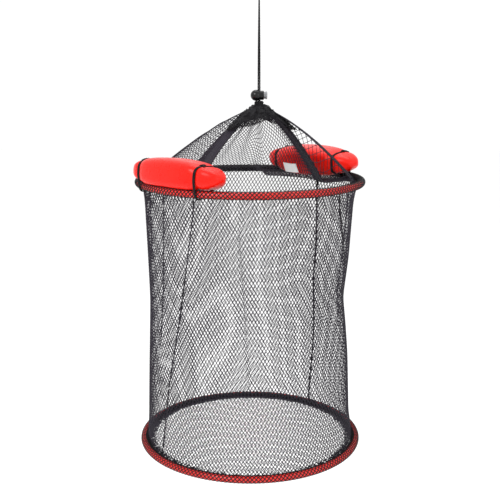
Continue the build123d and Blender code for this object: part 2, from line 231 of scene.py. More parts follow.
def strand_lines(columns, rows, steps, hand, closed_round):
    """Lines (u, v) of one family of strands: all at once round a closed net, else one by one."""
    slope = hand * rows / columns
    if closed_round:
        v = np.linspace(0, 1, steps)[None, :]
        u = (np.arange(columns) / columns)[:, None] + slope * v
        yield u, v + 0 * u
        return
    first, last = (-rows, columns) if hand > 0 else (0, columns + rows)
    fine = np.linspace(0, 1, steps * 4)
    for index in range(first, last + 1):
        start = index / columns
        line = start + slope * fine
        span = fine[(line >= 0) & (line <= 1)]
        if len(span) < 6:
            continue
        v = np.linspace(span[0], span[-1], max(4, int(steps * (span[-1] - span[0]))))[None, :]
        yield start + slope * v, v


def net_strands(surface, columns, rows, steps, closed_round, radius, thickness=None):
    """Two families of strands on surface(u, v), and a knot at each crossing, as two (vertices, faces)."""
    parts = []
    for hand, lift in ((1, 0.35), (-1, -0.35)):
        for u, v in strand_lines(columns, rows, steps, hand, closed_round):
            normals = surface_normals(surface, u, v)
            size = radius if thickness is None else radius * thickness(u, v)
            parts.append(tubes(surface(u, v) + normals * radius * lift, normals, size))
    whole = joined(parts)
    level = np.arange(1, 2 * rows)
    odd = (level % 2) * 0.5
    u = (np.arange(columns)[None, :] + odd[:, None]) / columns
    v = np.broadcast_to((level / (2 * rows))[:, None], u.shape)
    points = surface(u, v).reshape(-1, 3)
    normals = surface_normals(surface, u, v).reshape(-1, 3)
    along = (surface(u, v + 1e-3) - surface(u, v - 1e-3)).reshape(-1, 3)
    tied = knots(points, normals, along, radius * 1.35, radius * 1.5, radius * 2.1)
    return whole, tied


def nurbs_points(name, route):
    """Points along the NURBS spline that has the route as its control points."""
    curve = bpy.data.curves.new(name, "CURVE")
    curve.dimensions = "3D"
    curve.resolution_u = 16
    spline = curve.splines.new("NURBS")
    spline.points.add(len(route) - 1)
    for point, place in zip(spline.points, route):
        point.co = (*place, 1)
    spline.order_u = 3
    spline.use_endpoint_u = True
    holder = bpy.data.objects.new(name, curve)
    bpy.context.scene.collection.objects.link(holder)
    bpy.context.view_layer.update()
    mesh = bpy.data.meshes.new_from_object(holder)
    points = np.array([vertex.co[:] for vertex in mesh.vertices])
    bpy.data.objects.remove(holder)
    bpy.data.curves.remove(curve)
    bpy.data.meshes.remove(mesh)
    return points


def resampled(points, spacing, closed=False):
    """The same line in even steps."""
    if closed:
        points = np.concatenate([points, points[:1]])
    gaps = np.linalg.norm(np.diff(points, axis=0), axis=1)
    reach = np.concatenate([[0], np.cumsum(gaps)])
    count = max(8, int(round(reach[-1] / spacing)))
    at = np.linspace(0, reach[-1], count + 1)
    if closed:
        at = at[:-1]
    return np.stack([np.interp(at, reach, points[:, k]) for k in range(3)], 1)


def line_frames(points, closed=False):
    """Directions across a line that turn with it as little as they can."""
    if closed:
        along = np.roll(points, -1, 0) - np.roll(points, 1, 0)
    else:
        along = np.gradient(points, axis=0)
    along = unit(along)
    across = np.cross(along[0], [0.31, 0.87, 0.38])
    first = []
    for direction in along:
        across = across - direction * across.dot(direction)
        across = across / np.linalg.norm(across)
        first.append(across)
    first = np.array(first)
    return first, np.cross(along, first)


def braid(points, radius, closed=False):
    """A braided cord: four strands each way round a core, as (vertices, quads)."""
    pitch = radius * 7.5
    points = resampled(points, pitch / 14, closed)
    first, second = line_frames(points, closed)
    gaps = np.linalg.norm(np.diff(points, axis=0), axis=1)
    reach = np.concatenate([[0], np.cumsum(gaps)])
    if closed:
        total = reach[-1] + np.linalg.norm(points[0] - points[-1])
        twist = math.atan2(first[0].dot(second[-1]), first[0].dot(first[-1]))
        turns = max(1, round(total / pitch))
        phase = reach / total * (TAU * turns + twist)
    else:
        phase = reach / pitch * TAU
    strands, outs = [], []
    for hand in (1, -1):
        for index in range(4):
            angle = hand * phase + TAU * index / 4
            out = first * np.cos(angle)[:, None] + second * np.sin(angle)[:, None]
            over = radius * (0.66 + 0.12 * hand * np.cos(4 * phase + math.pi * index))
            strands.append(points + out * over[:, None])
            outs.append(out)
    parts = [tubes(np.array(strands), np.array(outs), radius * 0.36, 5, closed)]
    parts.append(tubes(points[None], first[None], radius * 0.66, 8, closed))
    return joined(parts)


# ---- materials

def material(name, base, rough, **settings):
    made = bpy.data.materials.new(name)
    made.use_nodes = True
    shader = made.node_tree.nodes["Principled BSDF"]
    shader.inputs["Base Color"].default_value = (*base, 1)
    shader.inputs["Roughness"].default_value = rough
    for socket, value in settings.items():
        shader.inputs[socket.replace("_", " ")].default_value = value
    made.diffuse_color = (*base, 1)
    return made


def add_node(made, kind, **values):
    node = made.node_tree.nodes.new(kind)
    for name, value in values.items():
        if name in node.inputs:
            node.inputs[name].default_value = value
        else:
            setattr(node, name, value)
    return node


def noise(made, scale, detail=3.0):
    place = add_node(made, "ShaderNodeTexCoord")
    cloud = add_node(made, "ShaderNodeTexNoise", Scale=scale, Detail=detail, Roughness=0.55)
    made.node_tree.links.new(place.outputs["Object"], cloud.inputs["Vector"])
    return cloud


def to_shader(made, socket, name):
    made.node_tree.links.new(socket, made.node_tree.nodes["Principled BSDF"].inputs[name])


def vary_color(made, scale, darker, lighter):
    """Colour that wanders between two shades."""
    ramp = add_node(made, "ShaderNodeValToRGB")
    for element, place, shade in zip(ramp.color_ramp.elements, (0.3, 0.72), (darker, lighter)):
        element.position = place
        element.color = (*shade, 1)
    made.node_tree.links.new(noise(made, scale).outputs["Fac"], ramp.inputs["Fac"])
    to_shader(made, ramp.outputs["Color"], "Base Color")


def vary_rough(made, scale, low, high):
    limits = {"From Min": 0.3, "From Max": 0.7, "To Min": low, "To Max": high}
    spread = add_node(made, "ShaderNodeMapRange", **limits)
    made.node_tree.links.new(noise(made, scale, 4.0).outputs["Fac"], spread.inputs["Value"])
    to_shader(made, spread.outputs["Result"], "Roughness")


def add_bump(made, height_socket, distance, strength=1.0):
    bump = add_node(made, "ShaderNodeBump", Distance=distance, Strength=strength)
    made.node_tree.links.new(height_socket, bump.inputs["Height"])
    to_shader(made, bump.outputs["Normal"], "Normal")


def weave(made, scale, distance):
    """Crossed threads, from two wave textures."""
    place = add_node(made, "ShaderNodeTexCoord")
    both = add_node(made, "ShaderNodeMath", operation="MULTIPLY")
    links = made.node_tree.links
    for socket, direction in zip(both.inputs, ("X", "Z")):
        wave = add_node(made, "ShaderNodeTexWave", Scale=scale, Distortion=0.6, bands_direction=direction)
        links.new(place.outputs["Object"], wave.inputs["Vector"])
        links.new(wave.outputs["Fac"], socket)
    add_bump(made, both.outputs["Value"], distance)


def twine_material(name, darker, lighter, rough):
    made = material(name, darker, rough, Specular_IOR_Level=0.22)
    vary_color(made, 900.0, darker, lighter)
    add_bump(made, noise(made, 5200.0, 2.0).outputs["Fac"], 0.12 * MM)
    return made


net_black = twine_material("net_twine", (0.008, 0.006, 0.011), (0.036, 0.030, 0.046), 0.55)
net_dense = twine_material("gathered_twine", (0.002, 0.002, 0.003), (0.012, 0.011, 0.014), 0.6)
hem_black = twine_material("hem_fabric", (0.002, 0.002, 0.0025), (0.010, 0.009, 0.011), 0.62)
cord_black = twine_material("braided_cord", (0.002, 0.002, 0.0025), (0.012, 0.012, 0.013), 0.5)

float_red = material("float_skin", (0.84, 0.008, 0.002), 0.3, Specular_IOR_Level=0.22)
vary_color(float_red, 26.0, (0.80, 0.006, 0.0015), (0.88, 0.010, 0.003))
vary_rough(float_red, 90.0, 0.24, 0.36)
add_bump(float_red, noise(float_red, 300.0, 2.0).outputs["Fac"], 0.02 * MM, 0.2)

hose_red = material("hose_red", (0.72, 0.010, 0.006), 0.3, Specular_IOR_Level=0.5)
vary_color(hose_red, 60.0, (0.62, 0.007, 0.004), (0.8, 0.018, 0.010))
add_bump(hose_red, noise(hose_red, 900.0).outputs["Fac"], 0.08 * MM, 0.5)

lock_black = material("lock_black", (0.003, 0.003, 0.0035), 0.2, Specular_IOR_Level=0.35)
vary_rough(lock_black, 400.0, 0.16, 0.28)
add_bump(lock_black, noise(lock_black, 1500.0).outputs["Fac"], 0.04 * MM, 0.5)

lock_grey = material("lock_button", (0.30, 0.31, 0.32), 0.3, Transmission_Weight=0.35, IOR=1.49)
vary_color(lock_grey, 300.0, (0.24, 0.25, 0.26), (0.38, 0.39, 0.40))
add_bump(lock_grey, noise(lock_grey, 1800.0).outputs["Fac"], 0.04 * MM, 0.5)

steel = material("drawn_steel", (0.62, 0.63, 0.65), 0.28, Metallic=1.0)
vary_rough(steel, 700.0, 0.2, 0.4)

label_white = material("label_tape", (0.84, 0.84, 0.83), 0.8, Sheen_Weight=0.3)
vary_color(label_white, 500.0, (0.78, 0.78, 0.775), (0.88, 0.88, 0.875))
weave(label_white, 900.0, 0.12 * MM)

NODE_MATERIALS = {
    "upper_hose": hose_red, "lower_hose": hose_red,
    "upper_rod": steel, "lower_rod": steel, "upper_ferrule": steel, "lower_ferrule": steel,
    "lock_body": lock_black, "lock_button": lock_grey,
}
for node, finish in NODE_MATERIALS.items():
    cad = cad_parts[node]
    for place in cad.material_slots:
        place.material = finish


def placed(piece, body, slot, *nodes):
    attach(piece, body)
    if nodes:
        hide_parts(*nodes)
    return piece


# ---- drawcord, knot, loop

def drawcord():
    low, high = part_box("drawcord_strand_a")
    foot, head = low.z, high.z
    bend = UPPER_Z + LOCK_TOP
    heights = [foot, bend, bend + (head - bend) / 3, bend + (head - bend) * 2 / 3, head]
    turns = [0, 0, 30, 60, 90]
    pieces = []
    for name, side in (("a", 1), ("b", -1)):
        route = []
        for degrees, height in zip(turns, heights):
            angle = math.radians(degrees)
            across = side * 1.15 * MM
            route.append((across * math.cos(angle), across * math.sin(angle), height))
        points = nurbs_points("drawcord_line_" + name, route)
        piece = mesh_object("drawcord_" + name, *braid(points, CORD), cord_black)
        placed(piece, "drawcord", "black_cord", "drawcord_strand_" + name)
        pieces.append((piece, points))
    return pieces


def hanging_loop():
    foot = knot_high.z
    route = [(0, -1.3, 0), (0, -6.6, 7), (0, -9.2, 15), (0, -8.8, 23.6), (0, -3.6, 29.1)]
    route += [(x, -y, z) for x, y, z in reversed(route)]
    route = [(x * MM, y * MM, foot + z * MM) for x, y, z in route]
    points = nurbs_points("loop_line", route)
    piece = mesh_object("hanging_loop_cord", *braid(points, CORD), cord_black)
    return placed(piece, "drawcord", "black_cord", "hanging_loop"), points


def trefoil(steps, core, wave, rise, lean):
    """The line of an overhand knot, in millimetres round the origin."""
    t = np.linspace(0, TAU, steps, endpoint=False)
    across = core + wave * np.cos(3 * t)
    deep = rise * np.sin(3 * t) * (1 - lean + lean * np.cos(t))
    return np.stack([across * np.cos(2 * t), across * np.sin(2 * t), deep], 1)


def hanging_knot():
    """Overhand knot: the two cords through a trefoil."""
    middle = UP * (knot_low.z + knot_high.z) / 2
    parts = [braid(trefoil(120, 1.75, 1.05, 2.9, 0.25) * MM + middle, CORD * 1.35, closed=True)]
    stub = np.array([[0.6, 2.2, 1.5], [1.8, 4.0, 0.5], [2.4, 4.6, -2.0]]) * MM + middle
    parts.append(braid(resampled(stub, 0.3 * MM), CORD * 0.95))
    piece = mesh_object("drawcord_knot", *joined(parts), cord_black)
    return placed(piece, "drawcord", "black_cord", "hanging_knot")


strands = drawcord()
knot_piece = hanging_knot()
loop_piece, loop_points = hanging_loop()


# ---- neck

def neck_gather():
    """The net drawn into pleats at the cord."""
    rows, columns = 30, 144
    share = np.linspace(0, 1, rows)[:, None]
    turn = (np.arange(columns) / columns * TAU)[None, :]
    profile_at = [0, 0.28, 0.5, 0.62, 0.86, 1.0]
    profile = np.interp(share, profile_at, [6.4, 5.3, 4.6, 4.9, 6.1, 4.2])
    depth = np.interp(share, [0, 0.5, 1.0], [0.7, 0.45, 0.8])
    pleats = np.cos(13 * turn + 1.4 * np.sin(2 * turn) + 0.6 * share)
    pleats = pleats + 0.45 * np.cos(29 * turn + 2.0 * np.sin(3 * turn + 4 * share))
    radius = (profile + depth * pleats * 0.75 + 0.3 * np.sin(2 * turn + 1)) * MM
    height = gather_low.z + (gather_high.z - gather_low.z) * share
    height = height + 0.5 * MM * np.sin(7 * turn + 1) * (share > 0.95)
    verts = around(radius, turn, height, 0)
    core = verts[-1] * np.array([0.45, 0.45, 1.0]) + np.array([0, 0, -2.4 * MM])
    verts = np.concatenate([verts, core[None]])
    faces = grid_faces(rows + 1, columns, wrap=True)
    piece = mesh_object("neck_pleats", verts, faces, hem_black)
    solidify = piece.modifiers.new("wall", "SOLIDIFY")
    solidify.thickness = 0.35 * MM
    solidify.offset = -1
    return placed(piece, "drawcord", "black_net", "neck_gather")


def neck_turns():
    """The drawcord's turn round the bunched net."""
    t = np.linspace(0, TAU, 160, endpoint=False)
    low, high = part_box("neck_loop")
    parts = []
    for lift, size, tilt in ((-0.7, 6.1, 0.25), (1.15, 5.9, -0.2)):
        line = np.stack([size * np.cos(t), size * np.sin(t), lift + tilt * np.sin(t)], 1) * MM
        parts.append(braid(line + UP * (low.z + high.z) / 2, CORD, closed=True))
    piece = mesh_object("neck_turns", *joined(parts), cord_black)
    return placed(piece, "drawcord", "black_cord", "neck_loop")


def lock_spring():
    """Coil behind the button, three and a half turns of wire at its rest length."""
    low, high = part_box("lock_spring")
    wire = 0.3 * MM
    share = np.linspace(0, 1, 160)
    turn = TAU * 3.5 * share
    size = (high.z - low.z) / 2 - wire
    x = low.x + wire + (high.x - low.x - 2 * wire) * share
    line = np.stack([x, size * np.cos(turn), (low.z + high.z) / 2 + size * np.sin(turn)], 1)
    out = np.stack([0 * x, np.cos(turn), np.sin(turn)], 1)
    piece = mesh_object("lock_spring_coil", *tubes(line[None], out[None], wire, 8), steel)
    placed(piece, "cord_lock", "steel", "lock_spring")
    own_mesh(piece)


neck_gather()
neck_turns()
lock_spring()


# ---- hoops

def hoop_wrap(name, z, body):
    """The net wrapped round the hose, a closed lattice of diamonds."""
    steps = WRAP_COLUMNS * 5
    s = np.arange(steps) / steps
    parts = []
    for hand, lift in ((1, 0.1), (-1, -0.15)):
        strands, outs = [], []
        for index in range(WRAP_ROWS):
            theta = TAU * s
            phi = TAU * (hand * s * WRAP_COLUMNS + index) / WRAP_ROWS + 0.25 * np.sin(9 * theta)
            radius = HOSE + lift * MM
            out = np.stack([np.cos(phi) * np.cos(theta), np.cos(phi) * np.sin(theta), np.sin(phi)], 1)
            strands.append(around(HOOP, theta, z) + out * radius)
            outs.append(out)
        parts.append(tubes(np.array(strands), np.array(outs), WRAP_TWINE, 4, closed=True))
    piece = mesh_object(name + "_wrap_net", *joined(parts), net_dense)
    return placed(piece, body, "black_net", name + "_wrap")


def hoop_hem(name, z, body, phase):
    """Gathered and stitched edge of the net along the hoop's inner side."""
    columns, rows = 2160, 13
    theta = (np.arange(columns) / columns * TAU)[None, :]
    share = np.linspace(-1, 1, rows)[:, None]
    ruffle = np.sin(360 * theta + phase + 2.5 * np.sin(31 * theta)) * 0.5
    ruffle = ruffle + 0.35 * np.sin(223 * theta + 3 * share + phase)
    phi = math.pi + math.radians(60) * share + 0.08 * np.sin(90 * theta + phase)
    radius = HOSE + (0.85 + 0.5 * ruffle * (1 - 0.5 * share ** 2)) * MM
    radius = radius - 0.35 * MM * np.exp(-(share / 0.12) ** 2)
    verts = around(HOOP + radius * np.cos(phi), theta, z + radius * np.sin(phi))
    piece = mesh_object(name + "_hem_gather", verts, grid_faces(rows, columns, wrap=True), hem_black)
    solidify = piece.modifiers.new("wall", "SOLIDIFY")
    solidify.thickness = 0.3 * MM
    return placed(piece, body, "black_hem", name + "_hem")


def hem_stitches(name, z, body):
    """Whipping thread over the hem: a turn of twine each few millimetres."""
    start = np.arange(STITCHES) / STITCHES * TAU + 0.004 * rng.standard_normal(STITCHES)
    share = np.linspace(0, 1, 20)[None, :]
    theta = start[:, None] + share * 0.016
    phi = math.radians(102) + share * math.radians(156)
    radius = HOSE + 1.45 * MM
    points = around(HOOP + radius * np.cos(phi), theta, z + radius * np.sin(phi))
    outs = unit(points - around(HOOP, theta, z))
    piece = mesh_object(name + "_hem_stitches", *tubes(points, outs, 0.45 * MM), cord_black)
    return placed(piece, body, "black_hem")


for name, z, body, phase in (("upper", UPPER_Z, "upper_hoop", 0.0), ("lower", LOWER_Z, "lower_hoop", 1.7)):
    hoop_wrap(name, z, body)
    hoop_hem(name, z, body, phase)
    hem_stitches(name, z, body)


# ---- side net

def drawn_in(u, centre, pull, width):
    """Azimuth share drawn towards a crease, which crowds the strands there."""
    away = (u - centre + 0.5) % 1 - 0.5
    return u - pull * np.tanh(away / width) * np.exp(-(away / (6 * width)) ** 2)


def side_azimuth(u):
    """Azimuth in radians: the net hangs fuller at the front and back than at the sides."""
    return TAU * u - 0.05 * np.cos(TAU * u) + 0.03 * np.sin(2 * TAU * u)


FULL_TURN = np.linspace(-0.2, 1.2, 2000)


def side_share(degrees):
    """The share of the way round the net that lies at an azimuth."""
    return np.interp(np.radians(degrees), side_azimuth(FULL_TURN), FULL_TURN)


# Folds in the side net: azimuth at the top, lean down the net, pull, and the span down the net
SIDE_FOLDS = [
    (206, -10, 0.0042, 0.0, 0.16), (193, 20, 0.0036, 0.0, 0.1), (186, 4, 0.003, 0.15, 0.7),
    (340, -6, 0.0042, 0.0, 0.3), (347, 4, 0.0035, 0.2, 0.9), (353, -8, 0.0028, 0.0, 0.35),
    (150, 12, 0.004, 0.1, 0.6), (100, -10, 0.003, 0.3, 0.9), (12, 9, 0.004, 0.0, 0.5),
]


def side_profile(stations, radii):
    """A smooth profile of the net's radius down its height."""
    levels = np.linspace(-0.1, 1.1, 241)
    coarse = np.interp(levels, stations, radii)
    kernel = np.hanning(23)
    padded = np.concatenate([np.full(11, coarse[0]), coarse, np.full(11, coarse[-1])])
    return levels, np.convolve(padded, kernel / kernel.sum(), "valid") * MM


LEFT_PROFILE = side_profile(
    [0, 0.05, 0.25, 0.45, 0.7, 0.93, 1],
    [163.4, 160.5, 158.5, 156.5, 159.5, 161.5, 163.6])
RIGHT_PROFILE = side_profile(
    [0, 0.05, 0.28, 0.44, 0.54, 0.66, 0.9, 1],
    [163.4, 158, 152.5, 145, 149.5, 153.5, 157, 163.6])


def side_radius(angle, v):
    right = 0.5 + 0.5 * np.cos(angle)
    return np.interp(v, *LEFT_PROFILE) * (1 - right) + np.interp(v, *RIGHT_PROFILE) * right


def main_crease(v):
    """Azimuth of the long crease at the front, from the upper hoop to the lower one."""
    return 243.8 - 30 * smoothstep(-0.25, 1.15, v)


def side_seam(v):
    return SIDE_SEAM_AZIMUTH + 5 * v - 20 * v * (1 - v)


def right_fold(v):
    return 321 + 50 * v


def side_twine(u, v):
    """Thickness of the side net's twine: finer at the sides, thicker in the first rows at the back."""
    angle = side_azimuth(u + SIDE_TWIST * v)
    thicker = (1 - smoothstep(0.07, 0.12, v)) * smoothstep(-0.1, 0.3, np.sin(angle))
    return 1 - 0.24 * np.cos(angle) ** 4 + 0.3 * thicker


def on_side(degrees, v):
    """A point of the side net at an azimuth, and its normal."""
    u = side_share(degrees) - SIDE_TWIST * v
    return side_surface(u, v), surface_normals(side_surface, u, v)


def side_surface(u, v):
    """u follows the net's columns, which turn a little on their way down; v runs from top to bottom."""
    v = np.asarray(v, float)
    u = u + SIDE_TWIST * v
    crease = side_share(main_crease(v))
    u = drawn_in(u, crease, 0.0042, 0.0035)
    fade = 1 - smoothstep(0.2, 0.32, v)
    u = u + (drawn_in(u, side_share(right_fold(v)), 0.0038, 0.004) - u) * fade
    u = drawn_in(u, side_share(side_seam(v)), 0.0035, 0.004)
    for start, lean, pull, low, high in SIDE_FOLDS:
        fade = smoothstep(low - 0.1, low, v) * (1 - smoothstep(high, high + 0.14, v))
        u = u + (drawn_in(u, side_share(start + lean * v), pull, 0.0045) - u) * fade
    angle = side_azimuth(u)
    bulge = 4 * v * (1 - v)
    radius = side_radius(angle, v)
    soft = bulge * (0.9 * np.sin(5 * angle + 2.2 * v) + 0.6 * np.sin(11 * angle - 3 * v + 1)) * MM
    crease_away = (angle - np.radians(main_crease(v))) / 0.038
    soft = soft - 1.6 * MM * np.exp(-crease_away ** 2) * smoothstep(0, 0.04, v) * smoothstep(1, 0.96, v)
    radius = radius + soft
    z = SIDE_TOP + (SIDE_BOTTOM - SIDE_TOP) * v
    z = z + 0.7 * MM * np.sin(9 * angle) * bulge
    return around(radius, angle, z)


def side_net():
    strands, tied = net_strands(side_surface, COLUMNS, SIDE_ROWS, 60, True, TWINE, side_twine)
    net = placed(mesh_object("side_net_strands", *strands, net_black), "upper_hoop", "black_net", "side_net")
    dots = placed(mesh_object("side_net_knots", *tied, net_black), "upper_hoop", "black_net")
    steps = 220
    v = np.linspace(0, 1, steps)
    lines, outs = [], []
    for lead, lift in ((0.0, 0.8), (0.35, -0.8), (0.7, 0.1)):
        sway = 1.3 * np.sin(TAU * (34 * v + lead)) + 0.8 * np.sin(TAU * (9 * v + lead))
        points, normal = on_side(side_seam(v) + np.degrees((sway + lift) * MM / SIDE_WAIST), v)
        lines.append(points - normal * (1.0 + 0.5 * np.cos(TAU * (34 * v + lead)))[:, None] * MM)
        outs.append(normal)
    seam = mesh_object("side_seam_stitches", *tubes(np.array(lines), np.array(outs), 0.85 * MM), hem_black)
    placed(seam, "upper_hoop", "black_hem", "side_seam")
    lines, outs = [], []
    for track, low, high in ((main_crease, 0.004, 0.996), (right_fold, 0.004, 0.27), (right_fold, 0.01, 0.2)):
        v = np.linspace(low, high, steps)
        sway = 0.35 * np.sin(TAU * 21 * v + 40 * high)
        points, normal = on_side(track(v) + sway, v)
        lines.append(points + normal * 0.5 * MM)
        outs.append(normal)
    folds = mesh_object("side_fold_edges", *tubes(np.array(lines), np.array(outs), FOLD_TWINE), hem_black)
    placed(folds, "upper_hoop", "black_net")
    for piece in (net, dots, seam, folds):
        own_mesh(piece)


side_net()


# ---- bottom net

def bottom_height(x, y):
    away = np.hypot(x, y) / BOTTOM_RADIUS
    sag = 3.5 * MM * (1 - np.clip(away, 0, 1) ** 2)
    return BOTTOM_Z - sag + 0.5 * MM * np.sin(90 * x + 2) * np.sin(70 * y)


def bottom_net():
    tall = BOTTOM_CELL_HEIGHT / 2
    direction = unit(np.array([BOTTOM_CELL_WIDTH / 2, tall]))
    spacing = BOTTOM_CELL_WIDTH * direction[1]
    parts = []
    for hand, lift in ((1, 0.35), (-1, -0.35)):
        along = np.array([hand * direction[0], direction[1]])
        across = np.array([along[1], -along[0]])
        count = int(BOTTOM_RADIUS / spacing)
        for index in range(-count, count + 1):
            away = index * spacing
            reach = math.sqrt(max(BOTTOM_RADIUS ** 2 - away ** 2, 0))
            if reach < 4 * MM:
                continue
            steps = max(4, int(reach / (6 * MM)))
            s = np.linspace(-reach, reach, steps)
            x = across[0] * away + along[0] * s
            y = across[1] * away + along[1] * s
            points = np.stack([x + AXIS_X, y, bottom_height(x, y) + lift * BOTTOM_TWINE], -1)[None]
            parts.append(tubes(points, UP, BOTTOM_TWINE))
    net = mesh_object("bottom_net_strands", *joined(parts), net_black)
    placed(net, "lower_hoop", "black_net", "bottom_net")
    rows = int(2 * BOTTOM_RADIUS / tall)
    columns = int(2 * BOTTOM_RADIUS / BOTTOM_CELL_WIDTH)
    places = []
    for row in range(-rows // 2, rows // 2 + 1):
        for column in range(-columns // 2, columns // 2 + 1):
            x = (column + 0.5 * (row % 2)) * BOTTOM_CELL_WIDTH
            y = row * tall
            if math.hypot(x, y) < BOTTOM_RADIUS - 3 * MM:
                places.append((x, y))
    x, y = np.array(places).T
    points = np.stack([x + AXIS_X, y, bottom_height(x, y)], -1)
    ahead = np.array([0, 1.0, 0])
    tied = knots(points, UP, ahead, BOTTOM_TWINE * 1.4, BOTTOM_TWINE * 1.4, BOTTOM_TWINE * 2)
    placed(mesh_object("bottom_net_knots", *tied, net_black), "lower_hoop", "black_net")


def gathered_edge(name, z, body, inward, drop, count, start=0.0, end=360.0):
    """Spare net bunched inside a hoop, as short crowded bars."""
    share = np.linspace(0, 1, 7)[None, :]
    turn = np.radians(start + (end - start) * (np.arange(count) + 0.4 * rng.random(count)) / count)[:, None]
    lean = rng.uniform(-0.035, 0.035, (count, 1))
    depth = rng.uniform(0.55, 1.0, (count, 1)) * inward
    theta = turn + lean * share
    radius = HOOP - HOSE - 0.6 * MM - depth * share
    hang = drop * share * (1 - 0.35 * share) * rng.uniform(0.6, 1.1, (count, 1))
    points = around(radius, theta, z - 1.5 * MM - hang)
    return placed(mesh_object(name, *tubes(points, UP, 0.5 * MM), net_black), body, "black_net")


bottom_net()
gathered_edge("lower_edge_gather", LOWER_Z, "lower_hoop", 13 * MM, -3 * MM, 1000)
gathered_edge("upper_edge_gather", UPPER_Z, "upper_hoop", 8 * MM, 3 * MM, 420, -16, 95)


# ---- cone net

def float_dip(azimuth):
    """1 where the net runs beneath a float, 0 where it goes straight up."""
    dip = 0
    for start, end in FLOAT_SPANS:
        ending = smoothstep(end + 9, end - 7, azimuth) if end < CONE_END else 1.0
        dip = dip + smoothstep(start - 3, start + 3, azimuth) * ending
    return dip


# Where the cone's spare net is bunched: azimuth, half width, how much wider at the neck, and share
CONE_BANDS = [(20, 8, 0.6, 0.26), (236, 9, 1.5, 0.38), (98, 2.5, 0.0, 0.015), (113, 2.0, 0.0, 0.015)]
# Where the rest hangs closer or more open: azimuth, half width, and change
CONE_OPENINGS = [(-6, 12, 1.8), (207, 18, -0.2), (163, 16, -0.3)]
CONE_LEVELS = 60


def cone_radius(v):
    return HEM_RADIUS + (NECK_RADIUS - HEM_RADIUS) * v


def bunching_table():
    """Azimuth for each share of the net's width, at levels from hem to neck."""
    azimuths = np.linspace(CONE_START, CONE_END, 1200)
    table = []
    for v in np.linspace(0, 1, CONE_LEVELS):
        bands = np.zeros_like(azimuths)
        for centre, width, spread, share in CONE_BANDS:
            bump = np.exp(-((azimuths - centre) / (width * (1 + spread * v * v))) ** 2)
            bands = bands + share * bump / bump.mean()
        bands = bands / bands.mean()
        even = np.ones_like(azimuths)
        for centre, width, change in CONE_OPENINGS:
            even = even + change * smoothstep(0, 0.75, v) * np.exp(-((azimuths - centre) / width) ** 2)
        even_share = 0.12 + 0.88 * min(1.0, cone_radius(v) / HEM_RADIUS * 1.02)
        density = even_share * even + (1 - even_share) * bands
        total = np.concatenate([[0], np.cumsum((density[1:] + density[:-1]) / 2)])
        table.append(np.interp(np.linspace(0, 1, 1200), total / total[-1], azimuths))
    return np.array(table)


CONE_TABLE = bunching_table()


def bunched(u, v):
    """Azimuth in degrees of a point of the cone net."""
    levels, count = CONE_TABLE.shape
    row = np.clip(v, 0, 1) * (levels - 1)
    column = np.clip(u, 0, 1) * (count - 1)
    row_0 = np.minimum(row.astype(int), levels - 2)
    column_0 = np.minimum(column.astype(int), count - 2)
    down = row - row_0
    over = column - column_0
    near = CONE_TABLE[row_0, column_0] * (1 - over) + CONE_TABLE[row_0, column_0 + 1] * over
    far = CONE_TABLE[row_0 + 1, column_0] * (1 - over) + CONE_TABLE[row_0 + 1, column_0 + 1] * over
    return near * (1 - down) + far * down + (CONE_END - CONE_START) * (u - np.clip(u, 0, 1))


def by_brim(v, hem, brim, neck):
    """A measure of the net where it runs beneath a float: out to the brim, then up to the neck."""
    low = hem + (brim - hem) * v / HEM_SHARE
    return np.where(v < HEM_SHARE, low, brim + (neck - brim) * (v - HEM_SHARE) / (1 - HEM_SHARE))


def cone_surface(u, v):
    """u runs from the mouth's right edge to its left edge, v from the hem to the neck."""
    u, v = np.broadcast_arrays(np.asarray(u, float), np.asarray(v, float))
    azimuth = bunched(u, v)
    angle = np.radians(azimuth - EDGE_DRAW * 4 * v * (1 - v) * smoothstep(185, 240, azimuth))
    dip = float_dip(azimuth)
    radius = cone_radius(v)
    radius = radius + (by_brim(v, HEM_RADIUS, BRIM_RADIUS, NECK_RADIUS) - radius) * dip
    height = HEM_Z + (NECK_Z - HEM_Z) * v
    height = height + (by_brim(v, HEM_Z, BRIM_Z - 1 * MM, NECK_Z) - height) * dip
    bow = 4 * v * (1 - v)
    above = np.clip((v - HEM_SHARE) / (1 - HEM_SHARE), 0, 1)
    bow = bow + (4 * above * (1 - above) - bow) * dip
    loose = smoothstep(110, 160, azimuth)
    height = height + bow * (smoothstep(75, 25, azimuth) * BULGE_RIGHT + loose * BULGE_LEFT)
    crowded = smoothstep(0.25, 0.8, v) * (1 - smoothstep(0.94, 1, v)) * (0.45 + 0.55 * loose)
    ripple = np.sin(TAU * u * 13 + 3 * np.sin(TAU * u * 3)) + 0.5 * np.sin(TAU * u * 29 + 9 * v)
    height = height + 0.5 * MM * crowded * ripple
    return around(radius, angle, height, AXIS_X - AXIS_X * v)


def cone_net():
    strands, tied = net_strands(cone_surface, CONE_COLUMNS, CONE_ROWS, 40, False, CONE_TWINE)
    net = placed(mesh_object("cone_net_strands", *strands, net_black), "upper_hoop", "black_net", "cone_net")
    dots = placed(mesh_object("cone_net_knots", *tied, net_black), "upper_hoop", "black_net")
    parts = []
    v = np.linspace(0, 1, 60)
    for edge, count in ((0.0, 1), (1.0, 4)):
        for index in range(count):
            sway = 0.004 * np.sin(TAU * (6 * v + index / count)) * (1 - v)
            u = np.clip(edge + (0.004 * index if edge == 0 else -0.004 * index) + sway, 0, 1)
            points = cone_surface(u, v)
            normal = surface_normals(cone_surface, np.clip(u, 0.01, 0.99), v)
            parts.append(tubes(points[None], normal[None], TWINE * (1.25 if edge else 0.9)))
    edges = mesh_object("cone_mouth_edges", *joined(parts), hem_black)
    placed(edges, "upper_hoop", "black_hem")
    return net, dots, edges


